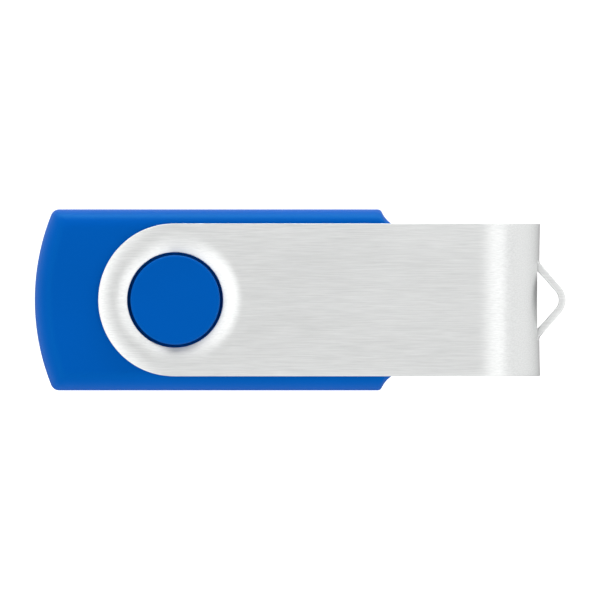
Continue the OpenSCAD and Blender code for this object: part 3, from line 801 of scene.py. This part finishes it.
def arm():
    """The upper arm's middle surface. Columns are rays from the pivot: one to each of
    fold_y at the fold's start and one every 2 degrees elsewhere. Rows run from the hole's
    edge over the dish to the outline, which is a half circle and two straight sides."""
    to_fold = np.arctan2(fold_y, lead_x)
    rest = np.radians(np.arange(16, 345, 2.0))
    angles = np.concatenate([to_fold, rest, to_fold[:1] + 2 * np.pi])
    across = np.abs(np.sin(angles))
    with np.errstate(divide="ignore"):
        side = cover_half_w / np.maximum(across, 1e-9)
        ahead = lead_x / np.maximum(np.cos(angles), 1e-9)
    reach = np.where(np.cos(angles) > 0, np.minimum(side, ahead), cover_half_w)
    shares = np.array([0.06, 0.14, 0.24, 0.36, 0.5, 0.65, 0.8, 0.9, 1.0])
    radii = [np.full(len(angles), r) for r in np.linspace(HOLE_R + HOLE_LEAN, DISH_R, 21)]
    radii += [DISH_R + (reach - DISH_R) * s for s in shares]
    rows = []
    for r in radii:
        x, y = r * np.cos(angles), r * np.sin(angles)
        rows.append(np.column_stack([x, y, MID_T - dish_depth(x, y)]))
    return np.stack(rows)


def fold_line(last_z):
    """The fold's middle line in X and Z from the upper arm to just above height last_z: an
    arc of the flatter lead, then the main arc."""
    lead_turn = np.linspace(0, LEAD_ANGLE, 7)
    lead = np.stack([lead_x + (lead_r - SHEET / 2) * np.sin(lead_turn),
                     half_t - lead_r + (lead_r - SHEET / 2) * np.cos(lead_turn)], -1)
    turn = np.linspace(math.pi / 2 - LEAD_ANGLE, math.asin(last_z / mid_r), 18)[1:-1]
    main = np.stack([fold_x + mid_r * np.cos(turn), mid_r * np.sin(turn)], -1)
    return np.concatenate([lead, main])


def flared(points):
    """Moves the fold's two edges out along X, as a bent strip's edges are, by FLARE times
    the cube of the distance from the middle, growing from the fold's start to its end."""
    growth = np.clip((points[..., 0] - lead_x) / (cover_reach - lead_x), 0, 1) ** 1.5
    points[..., 0] += FLARE * growth * np.abs(points[..., 1] / cover_half_w) ** 3
    return points


def across_strip(line, ys):
    """Carries a line in X and Z across the strip to each of ys."""
    x, y = np.meshgrid(line[:, 0], ys, indexing="ij")
    z, _ = np.meshgrid(line[:, 1], ys, indexing="ij")
    return flared(np.stack([x, y, z], -1))


band_z = np.array([1.0, 0.5, 0.0, -0.5, -1.0]) * LOOP_HALF_W
stops = np.concatenate([[LOOP_HALF_W + SLIT], band_z, [-LOOP_HALF_W - SLIT]])
stop_line = np.stack([fold_x + np.sqrt(mid_r**2 - stops**2), stops], -1)
upper_line = np.concatenate([fold_line(stops[0]), stop_line[:1]])
lower_line = upper_line * (1, -1)
left_y, right_y = fold_y[:len(beyond_y)], fold_y[-len(beyond_y):]


def loop_path():
    """The keyring loop's middle line in X and Y from its root at +Y to the one at -Y: a
    bend out, a straight leg, the tip's bend and the same back. Also returns how flat the
    band is at each point: it keeps the fold's curve at its roots."""
    root = np.array([root_x + LOOP_ROOT_R, loop_half])
    bend_out = arc(root, LOOP_ROOT_R, math.pi, math.pi + LOOP_ANGLE, 8)
    tip = np.array([root_x + LOOP_REACH - LOOP_TIP_R, 0.0])
    tip_bend = arc(tip, LOOP_TIP_R, LOOP_ANGLE, -LOOP_ANGLE, 15)
    leg = bend_out[-1] + (tip_bend[0] - bend_out[-1]) * np.linspace(0, 1, 8)[1:-1, None]
    path = np.concatenate([
        bend_out, leg, tip_bend, leg[::-1] * (1, -1), bend_out[::-1] * (1, -1)
    ])
    run = np.concatenate([[0], np.cumsum(np.linalg.norm(np.diff(path, axis=0), axis=1))])
    flatness = np.clip(np.minimum(run, run[-1] - run) / ROOT_RUN, 0, 1)
    return path, flatness**2 * (3 - 2 * flatness)


path, flatness = loop_path()
curve_x = np.sqrt(mid_r**2 - band_z**2) - mid_r
loop_grid = np.stack([
    path[None, :, 0] + curve_x[:, None] * (1 - flatness[None, :]),
    np.broadcast_to(path[None, :, 1], (len(band_z), len(path))),
    np.broadcast_to(band_z[:, None], (len(band_z), len(path))),
], -1)
loop_root = np.stack([flared(loop_grid[:, :1].copy()), flared(loop_grid[:, -1:].copy())])
loop_grid[:, 0], loop_grid[:, -1] = loop_root[0][:, 0], loop_root[1][:, 0]

upper_arm = arm()
cover = weld("cover_strip", [
    upper_arm, upper_arm * (1, 1, -1),
    across_strip(upper_line, fold_y), across_strip(lower_line, fold_y),
    across_strip(stop_line, left_y), across_strip(stop_line, right_y),
    loop_grid,
])
thick = cover.modifiers.new("thickness", "SOLIDIFY")
thick.thickness = SHEET * MM
thick.offset = 0
thick.use_even_offset = True
edges = cover.modifiers.new("edges", "BEVEL")
edges.width = EDGE_BEVEL * MM
edges.segments = 3
edges.limit_method = "ANGLE"
edges.angle_limit = math.radians(50)
apply_modifiers(cover)
soften(cover, 40)


def grain_map(piece):
    """A UV map whose U runs across the strip and V along it, over the fold."""
    mesh = piece.data
    points = np.empty(len(mesh.vertices) * 3)
    mesh.vertices.foreach_get("co", points)
    points = points.reshape(-1, 3) / MM - pivot
    angle = np.arctan2(points[:, 2], points[:, 0] - fold_x)
    run = np.where(points[:, 0] < fold_x,
                   np.sign(points[:, 2]) * (fold_x - points[:, 0] + fold_r * math.pi / 2),
                   fold_r * angle)
    corners = np.empty(len(mesh.loops), np.int32)
    mesh.loops.foreach_get("vertex_index", corners)
    uv = np.stack([points[corners, 1], run[corners]], -1) / GRAIN_SPAN + 0.5
    layer = mesh.uv_layers.new(name="grain")
    layer.data.foreach_set("uv", uv.ravel())


grain_map(cover)
brushed, brushed_tree, brushed_shader = new_material("brushed_aluminium")
set_sockets(brushed_shader, Metallic=1.0, Anisotropic=0.6)
strokes = noise(brushed_tree, (300, 9500, 9500), 3.0, 0.7)
fine_strokes = noise(brushed_tree, (1200, 24000, 24000), 2.0, 0.6)
patches = noise(brushed_tree, (60, 140, 140), 2.0)
FINE_SHARE = 0.5
both = node(
    brushed_tree, "ShaderNodeMath", {0: fine_strokes, 2: strokes}, operation="MULTIPLY_ADD"
)
both.inputs[1].default_value = FINE_SHARE
brushed_tree.links.new(
    between(brushed_tree, strokes, (0.79, 0.8, 0.795), (0.93, 0.94, 0.935)),
    brushed_shader.inputs["Base Color"],
)
brushed_tree.links.new(
    between(brushed_tree, patches, 0.48, 0.54), brushed_shader.inputs["Roughness"]
)
bump(brushed_tree, brushed_shader, both.outputs[0], 0.0000014)
tangent = node(brushed_tree, "ShaderNodeTangent", direction_type="UV_MAP", uv_map="grain")
brushed_tree.links.new(tangent.outputs["Tangent"], brushed_shader.inputs["Tangent"])
cover.data.materials.append(brushed)
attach(cover, "cover")
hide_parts("swivel_cover")

# ---------------------------------------------------------------- floor and light
# A plain white table, evenly lit, in a pale room, with a broad soft light at the left, a
# narrow one over the plug end and a small one behind.
FLOOR_HALF = 3.0
FLOOR_GAP = 0.01  # in millimetres, between the floor and the drive
floor_side = np.linspace(-FLOOR_HALF, FLOOR_HALF, 3) / MM
floor_x, floor_y = np.meshgrid(floor_side, floor_side)
floor = weld("floor", [np.stack([floor_x, floor_y, np.full((3, 3), -pivot[2] - FLOOR_GAP)], -1)])
white, _, white_shader = new_material("white_table")
set_sockets(white_shader, Base_Color=(0.6, 0.6, 0.6, 1), Roughness=0.9,
            Emission_Color=(1, 1, 1, 1), Emission_Strength=0.85)
floor.data.materials.append(white)
floor.visible_glossy = False

world = bpy.data.worlds.new("room")
bpy.context.scene.world = world
world.use_nodes = True
sky_tree = world.node_tree
sky = sky_tree.nodes["Background"]
way = node(sky_tree, "ShaderNodeTexCoord")
height = node(sky_tree, "ShaderNodeVectorMath", {"Vector": way.outputs["Generated"]},
              operation="DOT_PRODUCT")
height.inputs[1].default_value = (0.05, 0.6, 1.0)
shade = node(sky_tree, "ShaderNodeMapRange", {"Value": height.outputs["Value"]},
             From_Min=-1.1, From_Max=1.0)
ramp = node(sky_tree, "ShaderNodeValToRGB", {"Fac": shade.outputs["Result"]})
ramp.color_ramp.interpolation = "EASE"
# The room's brightness at shares of the way from below the floor, 0, to overhead, 1
room = ((0.0, 0.2), (0.22, 0.72), (0.42, 0.9), (0.62, 0.94), (0.92, 0.88), (1.0, 0.12))
for place, _ in room[1:-1]:
    ramp.color_ramp.elements.new(place)
for stop, (place, level) in zip(ramp.color_ramp.elements, room):
    stop.position = place
    stop.color = (level, level, level, 1)
sky_tree.links.new(ramp.outputs["Color"], sky.inputs["Color"])


def soft_light(name, tilt, turn, distance, width, length, brightness):
    """A rectangular light aimed at the drive. tilt is from straight up and turn from +X, in
    degrees, and its length is square to the way that it tilts. brightness is its radiance,
    where the room's is about 0.6."""
    data = bpy.data.lights.new(name, "AREA")
    data.shape = "RECTANGLE"
    data.size, data.size_y = width, length
    data.energy = brightness * math.pi * width * length
    light = bpy.data.objects.new(name, data)
    tilt, turn = math.radians(tilt), math.radians(turn)
    light.location = (distance * math.sin(tilt) * math.cos(turn),
                      distance * math.sin(tilt) * math.sin(turn), distance * math.cos(tilt))
    light.rotation_euler = (0, tilt, turn)
    bpy.context.scene.collection.objects.link(light)


soft_light("left_light", 28, 180, 0.7, 0.3, 1.2, 1.15)
soft_light("end_light", 22.4, 0, 0.7, 0.23, 1.2, 1.3)
soft_light("back_light", 79, 90, 0.4, 0.16, 0.5, 4.2)

scene = bpy.context.scene
scene.view_settings.view_transform = "Standard"
scene.view_settings.look = "None"
scene.view_settings.exposure = 0
scene.view_settings.gamma = 1
